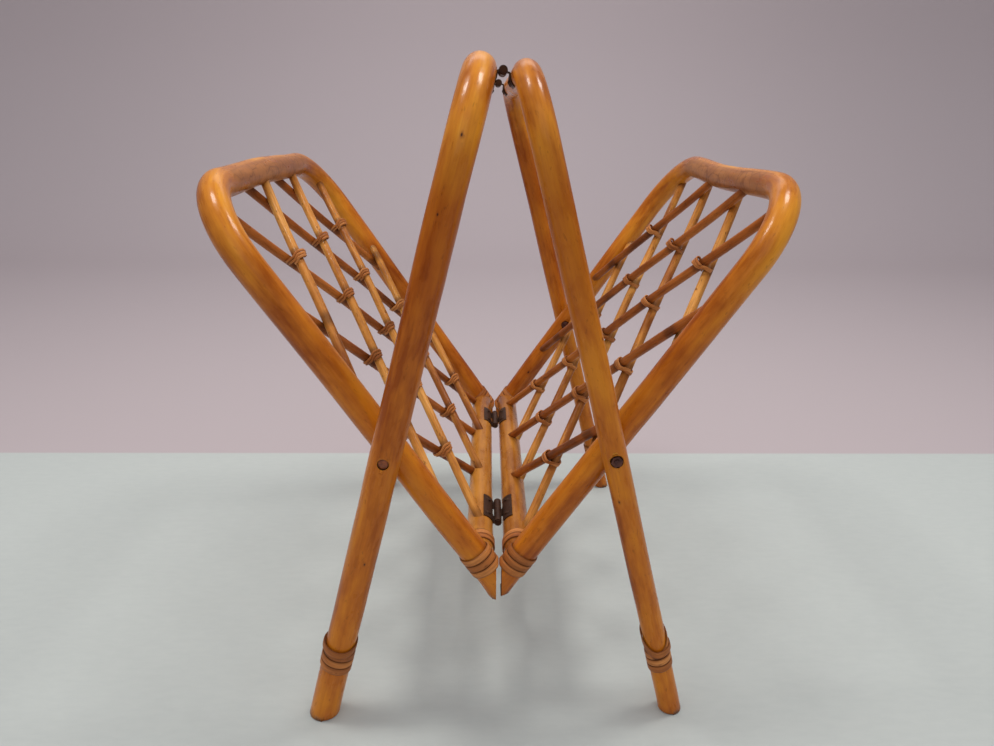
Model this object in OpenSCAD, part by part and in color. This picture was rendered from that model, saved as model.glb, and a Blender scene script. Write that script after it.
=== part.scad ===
// Folding magazine rack of bent cane: two leg hoops and two latticed tray hoops,
// hinged at the apex, at the two side pivots and at the bottom of the tray.
// X runs left to right, Y runs front to back, Z is up. The origin is on the floor
// under the middle of the rack. Every hoop is drawn in its own upright frame whose
// origin is the side pivot, with +X towards the middle of the rack, then it is
// leaned and moved to its place.

/* [Stance] */
// Lean of each tray hoop from the vertical when the rack stands open, in degrees
tray_lean = 34.2; // [28:0.1:38]
// Height of the side pivots above the floor
pivot_height = 210; // [190:1:240]
// Distance along a leg from the side pivot up to the level of the apex hinge
apex_reach = 255; // [240:1:265]
// Distance along a tray hoop from the side pivot down to the level of the bottom hinge
bottom_reach = 116.6; // [108:0.1:124]
// Gap between an apex hinge's axis and each of the two poles beside it
apex_clearance = 3.7; // [3.5:0.1:5]

/* [Leg hoops] */
// Diameter of the left pole
left_pole_d = 21.4; // [17:0.1:22]
// Diameter of the right pole above its taper
right_pole_d = 17.8; // [15:0.1:20]
// Diameter of the right pole at its feet
right_foot_d = 16.4; // [14:0.1:17.8]
// Distance along the left leg from the side pivot to the middle of its top bar
left_top_reach = 251; // [246:1:258]
// Distance along the right leg from the side pivot to the middle of its top bar
right_top_reach = 248; // [245:1:256]
// Bend radius of the left hoop, to the middle of the pole
left_leg_bend = 58; // [40:1:66]
// Bend radius of the right hoop, to the middle of the pole
right_leg_bend = 44; // [36:1:60]
// Gap between a leg and the bound tray rail that swings beside it
swing_gap = 0.3; // [0.2:0.05:0.8]

/* [Tray hoops] */
// Distance between the middles of the front and rear side rails
tray_width = 322; // [280:1:360]
// Distance along the tray from the bottom hinge level to the middle of the top bar
tray_reach = 322; // [300:1:326]
// Diameter of the pole that the left tray hoop is bent from
left_rail_d = 21.2; // [18:0.1:22]
// Diameter of the pole that the right tray hoop is bent from
right_rail_d = 19.8; // [18:0.1:22]
// Bend radius of the tray corners, to the middle of the pole
tray_bend = 55; // [36:1:60]
// Diameter of the straight bottom rail
bottom_rail_d = 20.4; // [14:0.1:21]
// Distance along the tray from the bottom hinge level up to the middle of the bottom rail
bottom_rail_rise = 5; // [4:0.1:8]
// Gap between the bindings that butt at the rail tips and stop the rack from opening
stop_gap = 0.3; // [0.2:0.05:0.6]
// Extra depth that the tips are cut back under their bindings
tip_ease = 0.8; // [0.5:0.05:1]
// Height of the sharp end that is trimmed off each pointed rail tip
tip_trim = 6; // [1:0.1:9]

/* [Lattice] */
// Diameter of the thin lattice canes
cane_d = 7; // [5:0.1:8]
// Number of canes in each of the two layers
canes_per_layer = 5; // [5]
// Spacing of the lattice across the tray, from crossing to crossing
lattice_across = 86; // [80:1:92]
// Spacing of the lattice along the tray, between rows of crossings
lattice_row = 48; // [44:1:52]
// Distance along the left tray from the bottom hinge level to its middle row of crossings
left_lattice_middle = 157; // [150:1:165]
// Distance along the right tray from the bottom hinge level to its middle row of crossings
right_lattice_middle = 154; // [150:1:165]
// Shift of the left lattice towards the back
left_lattice_shift = 15; // [-18:1:18]
// Shift of the right lattice towards the back
right_lattice_shift = 2; // [-18:1:18]
// Gap between the two layers of canes, and between a cane's end and the rail it meets
cane_gap = 0.1; // [0.05:0.05:0.3]

/* [Bindings] */
// Turns of flat cane in each binding
binding_turns = 3; // [2:1:4]
// Width of the flat binding cane
binding_w = 5.4; // [4:0.1:6]
// Thickness of the flat binding cane
binding_t = 1.0; // [0.6:0.1:1.2]
// Gap between neighbouring turns of a binding
binding_turn_gap = 0.5; // [0.5:0.1:1.2]
// Turns of the binding round each rear tip, which also covers the joint above it
rear_tip_turns = 4; // [2:1:4]
// Turns of the winding round the front end of each bottom rail
rail_binding_turns = 2; // [1:1:2]
// Distance along a leg from the floor to the first turn of its foot binding
foot_binding_rise = 40; // [25:1:90]
// Distance along the tray from the bottom hinge level down to a tip binding's first turn
tip_binding_drop = 5.5; // [0:0.5:8]
// Extra rise of the loose last turn round the left feet
left_loose_rise = 6; // [0:0.5:20]
// Extra rise of the loose last turn round the right feet
right_loose_rise = 18; // [0:0.5:24]
// Turns of the strip that ties two canes where they cross
tie_turns = 1.5; // [1.5]
// Width of the tying strip
tie_w = 2.1; // [1.6:0.1:2.2]
// Thickness of the tying strip
tie_t = 0.9; // [0.6:0.1:1.1]
// Gap between neighbouring turns of a tie
tie_turn_gap = 0.6; // [0.6:0.1:1.2]
// Gap between a tie and the two canes that it holds
tie_gap = 0.3; // [0.3:0.05:0.6]

/* [Hinges] */
// Distance of each hinge from the middle of the rack, front and back
hinge_place = 98; // [70:1:102]
// Length of a hinge
hinge_l = 34; // [24:1:36]
// Thickness of a hinge leaf
leaf_t = 0.9; // [0.6:0.1:1]
// Angle that a leaf wraps round its pole
leaf_wrap = 48; // [44:1:80]
// Angle by which a leaf's plate stays back from the knuckles of the other leaf
leaf_notch = 14; // [11:1:20]
// Outer diameter of a hinge knuckle
knuckle_d = 6; // [4.6:0.1:6.4]
// Diameter of a hinge pin
hinge_pin_d = 2.2; // [1.6:0.1:2.6]
// Diameter of the head on the end of a hinge pin
hinge_pin_head_d = 4.6; // [2.8:0.1:5]
// Radial running clearance of a pin or bolt in its bore
running_gap = 0.05; // [0.02:0.01:0.1]
// Gap between neighbouring knuckles
knuckle_gap = 0.3; // [0.2:0.05:0.6]
// Distance of each leaf screw from the middle of its hinge
leaf_screw_place = 10.5; // [8:0.5:12]
// Shank diameter of a leaf screw
leaf_screw_d = 1.9; // [1.5:0.1:2.2]
// Length of a leaf screw's shank
leaf_screw_l = 9; // [6:0.5:10]
// Head diameter of a leaf screw
leaf_screw_head_d = 4.6; // [3.8:0.1:5]
// Head height of a leaf screw
leaf_screw_head_h = 0.9; // [0.6:0.1:1.2]

/* [Side pivots] */
// Diameter of a pivot bolt
bolt_d = 3.9; // [3.4:0.1:4.4]
// Head diameter of a pivot bolt
bolt_head_d = 7; // [6.4:0.1:7.6]
// Head height of a pivot bolt
bolt_head_h = 2.2; // [1.6:0.1:2.6]
// Width of a pivot nut across its flats
nut_w = 7; // [6.4:0.1:7.4]
// Height of a pivot nut
nut_h = 3.2; // [2.4:0.1:3.6]
// Length of thread that stands out of a nut
bolt_stub = 0.8; // [0.4:0.1:1.4]
// Depth of the recess for a bolt head in the outside of a left leg
head_recess = 2.3; // [1.6:0.1:2.6]
// Depth of the recess for a nut in the outside of a right leg
nut_recess = 3.0; // [2:0.1:3.4]
// Depth of the seat for a nut or head on the inside of a tray rail
inner_recess = 1.4; // [1:0.1:2]
// Gap round a nut or head in its recess
recess_gap = 0.4; // [0.3:0.05:0.8]

/* [Hidden] */
$fn = 48;
LEFT = -1;
RIGHT = 1;
FRONT = -1;
REAR = 1;
ENDS = [FRONT, REAR];

// Hairline between pieces of one hoop that touch
slack = 0.05;
cane_r = cane_d / 2;
bottom_rail_r = bottom_rail_d / 2;
knuckle_r = knuckle_d / 2;
hinge_pin_r = hinge_pin_d / 2;
hinge_bore_r = hinge_pin_r + running_gap;
bolt_r = bolt_d / 2;
bolt_bore_r = bolt_r + running_gap;
nut_corner_r = nut_w / 2 / cos(30);
nut_seat_r = nut_corner_r + recess_gap;
head_seat_r = bolt_head_d / 2 + recess_gap;

// Rise of a binding, and of a tie, in one turn
binding_pitch = binding_w + binding_turn_gap;
tie_pitch = tie_w + tie_turn_gap;

// The hinge axes lie clear of the middle planes of the hoops. The apex axis is as far
// from either pole, and the bottom axis lies halfway, so that the rack folds flat
function apex_offset(side) = apex_clearance + pole_r(side);
hinge_offset = (apex_offset(LEFT) + apex_offset(RIGHT)) / 2;

// Where the side pivots are, and how far the legs lean so that the four-bar closes
pivot_x = bottom_reach * sin(tray_lean) + hinge_offset * cos(tray_lean);
leg_lean = asin(pivot_x / norm([apex_reach, hinge_offset])) - atan(hinge_offset / apex_reach);
leg_foot_reach = pivot_height / cos(leg_lean);
apex_x = (apex_offset(LEFT) - hinge_offset) * cos(leg_lean);
bottom_hinge_z = pivot_height - bottom_reach * cos(tray_lean) + hinge_offset * sin(tray_lean);
tray_top = tray_reach - bottom_reach;
bottom_rail_z = bottom_rail_rise - bottom_reach;

function pole_r(side) = (side < 0 ? left_pole_d : right_pole_d) / 2;
function foot_r(side) = (side < 0 ? left_pole_d : right_foot_d) / 2;
function top_reach(side) = side < 0 ? left_top_reach : right_top_reach;
function leg_bend(side) = side < 0 ? left_leg_bend : right_leg_bend;
function rail_r(side) = (side < 0 ? left_rail_d : right_rail_d) / 2;
function leg_y(side) = tray_width / 2 + wound_r(rail_r(side)) + swing_gap + pole_r(side);
function tip_z(side) =
    bottom_hinge_z - (hinge_offset + rail_r(side)) / sin(tray_lean) + tip_trim;

cane_numbers = [for (i = [1 : canes_per_layer]) i];
pole_colour = "peru";
binding_colour = "rosybrown";
inner_cane_colour = "sandybrown";
outer_cane_colour = "sienna";
metal_colour = "dimgray";

// Placing: the left hoops lean as drawn, the right ones are turned half round
module on_side(side) {
    rotate([0, 0, side < 0 ? 0 : 180]) children();
}

module leg_place(side) {
    on_side(side) translate([-pivot_x, 0, pivot_height]) rotate([0, leg_lean, 0]) children();
}

module tray_place(side) {
    on_side(side) translate([-pivot_x, 0, pivot_height]) rotate([0, -tray_lean, 0]) children();
}

// A front piece of the right hoop is the rear one of the same hoop before it is turned
function own_end(side, end) = side < 0 ? end : -end;

// A cylinder along Y from y = from to y = to
module rod_y(r, from, to, sides = 48) {
    translate([0, from, 0]) rotate([-90, 0, 0]) cylinder(r = r, h = to - from, $fn = sides);
}

// The bent top of a hoop: a bar along Y between two quarter bends
module hoop_top(r, half_width, top, bend) {
    translate([0, 0, top]) rod_y(r, -(half_width - bend), half_width - bend);
    for (end = ENDS)
        translate([0, end * (half_width - bend), top - bend])
            rotate([0, 0, end * 90])
                rotate([90, 0, 0])
                    rotate_extrude(angle = 90) translate([bend, 0]) circle(r = r);
}

// A straight side of a hoop, from z = low to the bend, tapered from r_low to r_high
module hoop_side(r_low, r_high, half_width, end, low, high) {
    translate([0, end * half_width, low]) cylinder(r1 = r_low, r2 = r_high, h = high - low);
}

// A length that reaches past the whole rack
beyond = tray_width + tray_reach;

module floor_cut() {
    translate([-beyond, -beyond, -beyond]) cube([2 * beyond, 2 * beyond, beyond]);
}

// Leg hoops
module leg_frame(side) {
    r = pole_r(side);
    y = leg_y(side);
    run_out = 12;
    seat = side < 0 ? head_recess : nut_recess;
    seat_r = side < 0 ? head_seat_r : nut_seat_r;
    color(pole_colour)
        difference() {
            leg_place(side)
                difference() {
                    union() {
                        hoop_top(r, y, top_reach(side), leg_bend(side));
                        for (end = ENDS)
                            hoop_side(foot_r(side), r, y, end, -leg_foot_reach - run_out,
                                top_reach(side) - leg_bend(side));
                    }
                    for (end = ENDS) {
                        rod_y(bolt_bore_r, end * y - 2 * r, end * y + 2 * r);
                        translate([0, end * (y + r - seat + r), 0])
                            rod_y(seat_r, -r, r);
                    }
                    hinge_places() leaf_screw_holes(side, "apex");
                }
            floor_cut();
        }
}

// Side pivots
function outer_seat_y(side) = leg_y(side) + pole_r(side) - (side < 0 ? head_recess : nut_recess);
function inner_seat_y(side) = tray_width / 2 - rail_r(side) + inner_recess - recess_gap;

module bolt_head() {
    dome_r = bolt_head_d * 0.8;
    intersection() {
        rod_y(bolt_head_d / 2, 0, bolt_head_h);
        translate([0, bolt_head_h - dome_r, 0]) sphere(r = dome_r);
    }
}

module pivot_bolt(side) {
    outer = outer_seat_y(side) + slack;
    inner = inner_seat_y(side);
    if (side < 0) {
        rod_y(bolt_r, inner - nut_h - bolt_stub, outer + slack);
        translate([0, outer, 0]) bolt_head();
    } else {
        rod_y(bolt_r, inner - slack, outer + nut_h + bolt_stub);
        translate([0, inner, 0]) mirror([0, 1, 0]) bolt_head();
    }
}

module pivot_nut(side) {
    near = side < 0 ? inner_seat_y(side) - nut_h : outer_seat_y(side) + slack;
    difference() {
        rod_y(nut_corner_r, near, near + nut_h, 6);
        rod_y(bolt_bore_r, near - 1, near + nut_h + 1);
    }
}

module both_ends() {
    children();
    mirror([0, 1, 0]) children();
}

module pivot_bolts(side) {
    color(metal_colour) leg_place(side) both_ends() pivot_bolt(side);
}

module pivot_nuts(side) {
    color(metal_colour) leg_place(side) both_ends() pivot_nut(side);
}

// Hinges. A leaf wraps the pole of a leg hoop's top bar, or the bottom rail, and its
// axis is given in the hoop's own frame as [towards the middle, up]
function leaf_pole_r(side, place) = place == "apex" ? pole_r(side) : bottom_rail_r;
function leaf_pole_z(side, place) = place == "apex" ? top_reach(side) : bottom_rail_z;
function leaf_axis(side, place) =
    place == "bottom" ? [hinge_offset, -bottom_reach]
    : side < 0 ? [apex_offset(side), apex_reach]
    : [apex_offset(LEFT) - 2 * apex_x * cos(leg_lean), apex_reach - 2 * apex_x * sin(leg_lean)];
function leaf_radial(side, place) = leaf_axis(side, place) - [0, leaf_pole_z(side, place)];
function leaf_start(side, place) = atan2(leaf_radial(side, place)[1], leaf_radial(side, place)[0]);
// The apex leaves wrap down under the top bars, the bottom ones up over the rails
function leaf_turn(place) = place == "apex" ? -1 : 1;
function leaf_screw_angle(side, place) =
    leaf_start(side, place) + leaf_turn(place) * (leaf_notch + leaf_wrap) * 0.62;

module at_leaf_pole(side, place) {
    translate([0, 0, leaf_pole_z(side, place)]) children();
}

// Turns +X of the children to the given angle in the XZ plane
module facing(angle) {
    rotate([0, -angle, 0]) children();
}

module leaf_screw_axes(side, place) {
    at_leaf_pole(side, place)
        for (end = ENDS)
            translate([0, end * leaf_screw_place, 0])
                facing(leaf_screw_angle(side, place))
                    rotate([0, 90, 0]) children();
}

module leaf_screw_holes(side, place) {
    r = leaf_pole_r(side, place);
    leaf_screw_axes(side, place)
        translate([0, 0, r - leaf_screw_l])
            cylinder(r = leaf_screw_d / 2 + slack, h = leaf_screw_l + 3, $fn = 24);
}

module leaf_screw(side, place) {
    seat = leaf_pole_r(side, place) + slack + leaf_t + slack;
    leaf_screw_axes(side, place) {
        translate([0, 0, seat + slack - leaf_screw_l])
            cylinder(r = leaf_screw_d / 2, h = leaf_screw_l, $fn = 24);
        translate([0, 0, seat])
            cylinder(r1 = leaf_screw_head_d / 2, r2 = leaf_screw_head_d / 2 - 0.5,
                h = leaf_screw_head_h, $fn = 32);
    }
}

// Knuckles of the left leaf are the two outer ones, of the right leaf the middle one
knuckle_edge = hinge_l / 6;

module knuckle_spans(side) {
    if (side < 0)
        for (end = ENDS)
            translate([0, end * (knuckle_edge + hinge_l / 2) / 2, 0])
                children();
    else
        children();
}

function knuckle_l(side) =
    side < 0 ? hinge_l / 2 - knuckle_edge - knuckle_gap / 2 : 2 * knuckle_edge - knuckle_gap;

// A curved plate of the leaf between two angles from its start, length long along Y
module leaf_plate(side, place, from, to, length, inset = 0) {
    turn = leaf_turn(place);
    near = leaf_start(side, place) + turn * from;
    far = leaf_start(side, place) + turn * to;
    facing(min(near, far))
        rotate([90, 0, 0])
            translate([0, 0, -length / 2])
                rotate_extrude(angle = to - from)
                    translate([leaf_pole_r(side, place) + slack + inset, 0])
                        square([leaf_t - 2 * inset, length]);
}

module leaf(side, place) {
    inner_r = leaf_pole_r(side, place) + slack;
    axis = leaf_axis(side, place);
    reach = norm(leaf_radial(side, place));
    length = knuckle_l(side);
    difference() {
        union() {
            at_leaf_pole(side, place)
                leaf_plate(side, place, leaf_notch, leaf_notch + leaf_wrap, hinge_l);
            knuckle_spans(side)
                at_leaf_pole(side, place) {
                    leaf_plate(side, place, 0, leaf_notch + 1, length, slack);
                    facing(leaf_start(side, place)) {
                        translate([inner_r + leaf_t / 2, -length / 2, -leaf_t / 2])
                            cube([reach - inner_r - leaf_t / 2, length, leaf_t]);
                        translate([reach, 0, 0])
                            rod_y(knuckle_r, -length / 2, length / 2, 32);
                    }
                }
        }
        translate([axis[0], 0, axis[1]]) rod_y(hinge_bore_r, -hinge_l, hinge_l, 32);
        leaf_screw_axes(side, place)
            translate([0, 0, inner_r - 1])
                cylinder(r = leaf_screw_d / 2 + slack, h = leaf_t + 2, $fn = 24);
    }
}

module hinge_places() {
    for (end = ENDS) translate([0, end * hinge_place, 0]) children();
}

module apex_leaves(side) {
    color(metal_colour) leg_place(side) hinge_places() leaf(side, "apex");
}

module apex_screws(side) {
    color(metal_colour) leg_place(side) hinge_places() leaf_screw(side, "apex");
}

module bottom_leaves(side) {
    color(metal_colour) tray_place(side) hinge_places() leaf(side, "bottom");
}

module bottom_screws(side) {
    color(metal_colour) tray_place(side) hinge_places() leaf_screw(side, "bottom");
}

module pin_head(end) {
    head_h = 0.8;
    translate([0, end * (hinge_l / 2 + slack + head_h / 2), 0])
        rod_y(hinge_pin_head_d / 2, -head_h / 2, head_h / 2, 32);
}

// The apex pins stop inside the two outer knuckles
module apex_pins() {
    stop = knuckle_edge + knuckle_gap;
    color(metal_colour)
        leg_place(LEFT)
            hinge_places()
                translate([leaf_axis(LEFT, "apex")[0], 0, leaf_axis(LEFT, "apex")[1]])
                    for (end = ENDS) {
                        rod_y(hinge_pin_r, min(end * stop, end * (hinge_l / 2 + 2 * slack)),
                            max(end * stop, end * (hinge_l / 2 + 2 * slack)), 32);
                        pin_head(end);
                    }
}

module bottom_pins() {
    color(metal_colour)
        tray_place(LEFT)
            hinge_places()
                translate([leaf_axis(LEFT, "bottom")[0], 0, leaf_axis(LEFT, "bottom")[1]]) {
                    rod_y(hinge_pin_r, -hinge_l / 2 - 2 * slack, hinge_l / 2 + 2 * slack, 32);
                    for (end = ENDS) pin_head(end);
                }
}

// Tray hoops
module tray_hoop(side, grow = 0) {
    r = rail_r(side) + grow;
    hoop_top(r, tray_width / 2, tray_top, tray_bend);
    for (end = ENDS)
        hoop_side(r, r, tray_width / 2, end, -bottom_reach - tray_width / 4, tray_top - tray_bend);
}

// The tips are cut back from the middle plane by the thickness of their bindings, and
// their sharp ends are trimmed off
tip_cut_x = stop_gap / 2 + binding_t + tip_ease;

module tip_cut(side) {
    on_side(side) {
        translate([-tip_cut_x, -beyond, -beyond]) cube(2 * beyond);
        translate([-beyond, -beyond, tip_z(side) - beyond]) cube([2 * beyond, 2 * beyond, beyond]);
    }
}

module tray_frame(side) {
    r = rail_r(side);
    y = tray_width / 2;
    color(pole_colour)
        difference() {
            tray_place(side)
                difference() {
                    tray_hoop(side);
                    for (end = ENDS) {
                        rod_y(bolt_bore_r, end * y - 2 * r, end * y + 2 * r);
                        translate([0, end * (y - r + inner_recess - r), 0])
                            rod_y(nut_seat_r, -r, r);
                    }
                }
            tip_cut(side);
        }
}

module bottom_rail_rod(grow = 0) {
    translate([0, 0, bottom_rail_z])
        rod_y(bottom_rail_r + grow, -tray_width / 2, tray_width / 2);
}

// The bottom rail is coped to sit against the bound side rails
function cope_r(r) = wound_r(r) / cos(180 / binding_rings) + slack;

module tip_wraps(side) {
    top = -bottom_reach - tip_binding_drop + binding_pitch * rear_tip_turns + binding_w;
    for (end = ENDS)
        hoop_side(cope_r(rail_r(side)), cope_r(rail_r(side)), tray_width / 2, end,
            bottom_rail_z - 2 * bottom_rail_d, top);
}

module bottom_rail(side) {
    color(pole_colour)
        tray_place(side)
            difference() {
                bottom_rail_rod();
                tip_wraps(side);
                hinge_places() leaf_screw_holes(side, "bottom");
            }
}

// Lattice. The window runs along the middle line of the hoop and of the bottom rail
cane_tilt = atan(lattice_across / 2 / lattice_row);
function lattice_z(side) =
    (side < 0 ? left_lattice_middle : right_lattice_middle) - bottom_reach;
function lattice_y(side) = side < 0 ? left_lattice_shift : -right_lattice_shift;

module window_prism() {
    half = tray_width / 2;
    rotate([90, 0, 90])
        linear_extrude(height = 4 * cane_d, center = true) {
            translate([-half, bottom_rail_z])
                square([2 * half, tray_top - tray_bend - bottom_rail_z]);
            translate([-(half - tray_bend), bottom_rail_z])
                square([2 * (half - tray_bend), tray_top - bottom_rail_z]);
            for (end = ENDS)
                translate([end * (half - tray_bend), tray_top - tray_bend])
                    circle(r = tray_bend);
        }
}

// layer 1 is the inner layer, which climbs towards +Y, layer -1 the outer one
module cane_rod(side, layer, number) {
    place = lattice_y(side) + (number - (canes_per_layer + 1) / 2) * lattice_across;
    translate([layer * (cane_r + cane_gap / 2), place, lattice_z(side)])
        rotate([-layer * cane_tilt, 0, 0])
            cylinder(r = cane_r, h = beyond, center = true, $fn = 32);
}

// Room for the nut or bolt head on the inside of each side rail
module pivot_room(side) {
    near = inner_seat_y(side) - nut_h - bolt_stub - recess_gap;
    for (end = ENDS)
        rod_y(nut_seat_r, min(end * near, end * tray_width / 2),
            max(end * near, end * tray_width / 2));
}

// Room for the bottom leaves and their screw heads, where an inner cane lands on them
module leaf_room(side) {
    over_leaf = bottom_rail_r + slack + leaf_t + cane_gap;
    hinge_places() {
        at_leaf_pole(side, "bottom")
            rod_y(over_leaf, -hinge_l / 2 - cane_gap, hinge_l / 2 + cane_gap);
        leaf_screw_axes(side, "bottom")
            cylinder(r = leaf_screw_head_d / 2 + cane_gap,
                h = over_leaf + leaf_screw_head_h + cane_gap, $fn = 32);
    }
}

// Room for the winding at the front end of the bottom rail
module rail_wrap_room(side) {
    own = own_end(side, FRONT);
    near = rail_binding_y(side) - binding_w / 2 - cane_gap;
    translate([0, 0, bottom_rail_z])
        rod_y(cope_r(bottom_rail_r), min(own * near, own * tray_width / 2),
            max(own * near, own * tray_width / 2));
}

module lattice_cane(side, layer, number) {
    color(layer > 0 ? inner_cane_colour : outer_cane_colour)
        tray_place(side)
            difference() {
                intersection() {
                    cane_rod(side, layer, number);
                    window_prism();
                }
                tray_hoop(side, cane_gap);
                tip_wraps(side);
                pivot_room(side);
                rail_wrap_room(side);
                if (layer > 0) leaf_room(side);
                bottom_rail_rod(cane_gap);
            }
}

// Windings: a flat strip swept along a path, as one closed surface. out is the outward
// direction of the path at one of its points, and along is the strip's width direction.
// Its inner and outer faces are parts planes wide
function strip_ring(at, out, along, t, w, parts = 1) = [
    for (face = [-1, 1], k = [0 : parts])
        at + face * t / 2 * out + face * (0.5 - k / parts) * w * along
];

// rings is a list of rings with the same number of corners
module strip(rings) {
    n = len(rings[0]);
    last = len(rings) - 1;
    points = [for (ring = rings) each ring];
    sides = [
        for (i = [0 : last - 1], j = [0 : n - 1])
            let (a = i * n + j, b = i * n + (j + 1) % n)
                each [[a, b, b + n], [a, b + n, a + n]]
    ];
    // The ends are closed by triangles from the middle of the strip's inner face
    mid = floor(n / 4);
    caps = [
        for (j = [1 : n - 2])
            let (a = (mid + j) % n, b = (mid + j + 1) % n)
                each [[mid, b, a], [last * n + mid, last * n + a, last * n + b]]
    ];
    polyhedron(points = points, faces = concat(sides, caps));
}

// A binding climbs a pole that stands along Z. Its first turn starts on the side that
// start points to, and its last turn may climb further round the back
binding_rings = 16;

function binding_level(turn, turns, loose) =
    binding_pitch * turn
    + (turn > turns - 1 ? loose * (1 - cos(360 * turn)) / 2 : 0);

function binding_path_r(r) = (r + binding_t / 2 + slack) / cos(180 / binding_rings);

// Radius of a pole of radius r with a binding round it
function wound_r(r) = binding_path_r(r) + binding_t / 2;

function binding_strip(r, start, hand, turns, loose, rings = binding_rings, parts = 1) = [
    for (k = [0 : rings * turns])
        let (turn = k / rings,
             angle = start + hand * 360 * turn,
             out = [cos(angle), sin(angle), 0])
            strip_ring(binding_path_r(r) * out + [0, 0, binding_level(turn, turns, loose)],
                out, [0, 0, 1], binding_t, binding_w, parts)
];

module foot_binding(side, end, loose) {
    own = own_end(side, end);
    taper = (pole_r(side) - foot_r(side)) * foot_binding_rise / leg_foot_reach;
    color(binding_colour)
        leg_place(side)
            translate([0, own * leg_y(side), foot_binding_rise - leg_foot_reach])
                strip(binding_strip(foot_r(side) + taper + slack, own * 90, own, binding_turns,
                    loose));
}

// A tip binding is pressed flat where the rail is cut back beside the middle plane, and
// bends across its width at the edge of that flat
tip_binding_rings = 20;
tip_binding_parts = 2;

// How far a point at height z may lie towards the middle, depth back from the stop plane
function tip_limit(z, depth) =
    hinge_offset + (z + bottom_reach) * tan(tray_lean)
    - (stop_gap / 2 + depth) / cos(tray_lean);

function pressed(p, base, depth) = [min(p[0], tip_limit(p[2] + base, depth)), p[1], p[2]];

module corner_binding(side, end) {
    own = own_end(side, end);
    base = -bottom_reach - tip_binding_drop;
    turns = end == REAR ? rear_tip_turns : binding_turns;
    rings = binding_strip(rail_r(side), 180, own, turns, 0, tip_binding_rings,
        tip_binding_parts);
    color(binding_colour)
        tray_place(side)
            translate([0, own * tray_width / 2, base])
                strip([
                    for (ring = rings)
                        [for (j = [0 : len(ring) - 1])
                            pressed(ring[j], base, j > tip_binding_parts ? 0 : binding_t)]
                ]);
}

// A winding round the front end of a bottom rail, beside the coped joint. Its first turn
// is the one that is furthest from the side rail
function rail_binding_y(side) = tray_width / 2 - cope_r(rail_r(side)) - slack
    - binding_w / 2 - binding_pitch * rail_binding_turns;

module rail_binding(side) {
    own = own_end(side, FRONT);
    color(binding_colour)
        tray_place(side)
            translate([0, own * rail_binding_y(side), bottom_rail_z])
                rotate([-90 * own, 0, 0])
                    strip(binding_strip(bottom_rail_r, 90, 1, rail_binding_turns, 0));
}

// Ties: an oval winding round a crossing, whose axis runs along the tray. It leans over
// with the cane that it passes, and its half width clears both canes at every angle
tie_rings = 10;
tie_deep = cane_d + cane_gap / 2 + tie_gap;

function tie_need(a) =
    let (reach = (cane_r + cane_gap / 2) * cos(a) + tie_w / 2 * tan(cane_tilt) * sin(a)
             + norm([cane_r * cos(a), cane_r / cos(cane_tilt) * sin(a)]) + slack)
        sqrt(max(0, pow(reach, 2) - pow(tie_deep * cos(a), 2))) / sin(a);

tie_half = max([for (a = [10 : 5 : 90]) tie_need(a)]);

function tie_strip() = [
    for (k = [0 : tie_rings * tie_turns])
        let (turn = k / tie_rings - tie_turns / 2,
             out = [cos(360 * turn), sin(360 * turn), 0],
             rise = tie_pitch * turn,
             lean = max(-1, min(1, 2 * out[0])) * rise * tan(cane_tilt),
             deep = tie_deep / cos(180 / tie_rings) + tie_t / 2,
             wide = tie_half / cos(180 / tie_rings) + tie_t / 2)
            strip_ring([deep * out[0], wide * out[1] + lean, rise], out, [0, 0, 1], tie_t, tie_w)
];

// Crossings next to the hoop stay untied
tie_places = [
    for (row = [-2 : 2])
        for (column = (row % 2 == 0 ? [-1, 0, 1] : [-0.5, 0.5]))
            [column * lattice_across, row * lattice_row]
];

module cross_ties(side) {
    color(binding_colour)
        tray_place(side)
            for (place = tie_places)
                translate([0, lattice_y(side) + place[0], lattice_z(side) + place[1]])
                    strip(tie_strip());
}

// Least gap of each winding to itself, between the edges of rings one turn apart
function turn_gap(rings, per_turn) = min([
    for (i = [0 : len(rings) - 1 - per_turn])
        min(norm(rings[i + per_turn][0] - rings[i][1]), norm(rings[i + per_turn][3] - rings[i][2]))
]);
echo(least_gap_of_bindings =
    turn_gap(binding_strip(rail_r(LEFT), 180, 1, binding_turns, 0), binding_rings));
echo(least_gap_of_ties = turn_gap(tie_strip(), tie_rings));

leg_frame(LEFT);  // left_leg_frame
foot_binding(LEFT, FRONT, left_loose_rise);  // left_front_foot_binding
foot_binding(LEFT, REAR, left_loose_rise);  // left_rear_foot_binding
pivot_bolts(LEFT);  // left_pivot_bolts
pivot_nuts(LEFT);  // left_pivot_nuts
apex_leaves(LEFT);  // left_apex_leaves
apex_screws(LEFT);  // left_apex_screws
apex_pins();
leg_frame(RIGHT);  // right_leg_frame
foot_binding(RIGHT, FRONT, right_loose_rise);  // right_front_foot_binding
foot_binding(RIGHT, REAR, right_loose_rise);  // right_rear_foot_binding
pivot_bolts(RIGHT);  // right_pivot_bolts
pivot_nuts(RIGHT);  // right_pivot_nuts
apex_leaves(RIGHT);  // right_apex_leaves
apex_screws(RIGHT);  // right_apex_screws
tray_frame(LEFT);  // left_tray_frame
bottom_rail(LEFT);  // left_bottom_rail
corner_binding(LEFT, FRONT);  // left_front_corner_binding
corner_binding(LEFT, REAR);  // left_rear_corner_binding
rail_binding(LEFT);  // left_rail_binding
bottom_leaves(LEFT);  // left_bottom_leaves
bottom_screws(LEFT);  // left_bottom_screws
bottom_pins();
for (i = cane_numbers) {
    lattice_cane(LEFT, 1, i);
    lattice_cane(LEFT, -1, i);
    lattice_cane(RIGHT, 1, i);
    lattice_cane(RIGHT, -1, i);
}
cross_ties(LEFT);  // left_cross_ties
tray_frame(RIGHT);  // right_tray_frame
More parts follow.
